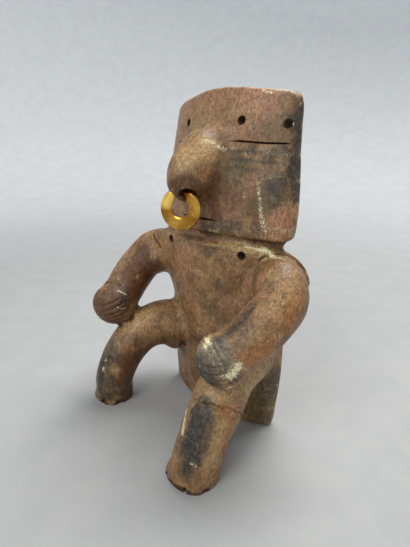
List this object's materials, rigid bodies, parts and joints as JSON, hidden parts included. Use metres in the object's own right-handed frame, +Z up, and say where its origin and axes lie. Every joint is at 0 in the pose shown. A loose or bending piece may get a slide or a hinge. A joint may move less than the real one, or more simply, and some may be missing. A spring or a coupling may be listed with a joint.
{
  "type": "seated clay figure",
  "caption": "Seated fired-clay figure: a bowed slab for head and torso, round arms that rest on bent knees, pierced edges, slit eyes and a hooked nose that holds a gold-coloured ring.",
  "frame": {"origin": "middle of the seat's flat underside, on the ground, in the figure's middle plane", "axes": "+Z up along the figure's height, -Y out of the figure's front, +X towards the figure's left hand"},
  "size_m": [0.1894, 0.1153, 0.2549],
  "materials": {
    "fired_clay": "burnished, worn, with dark fire clouds and pale crusts",
    "gilt_metal": "polished, softly worn"
  },
  "bodies": {
    "root": {"clay_figure": "fired_clay", "nose_ring": "gilt_metal"}
  },
  "joints": []
}
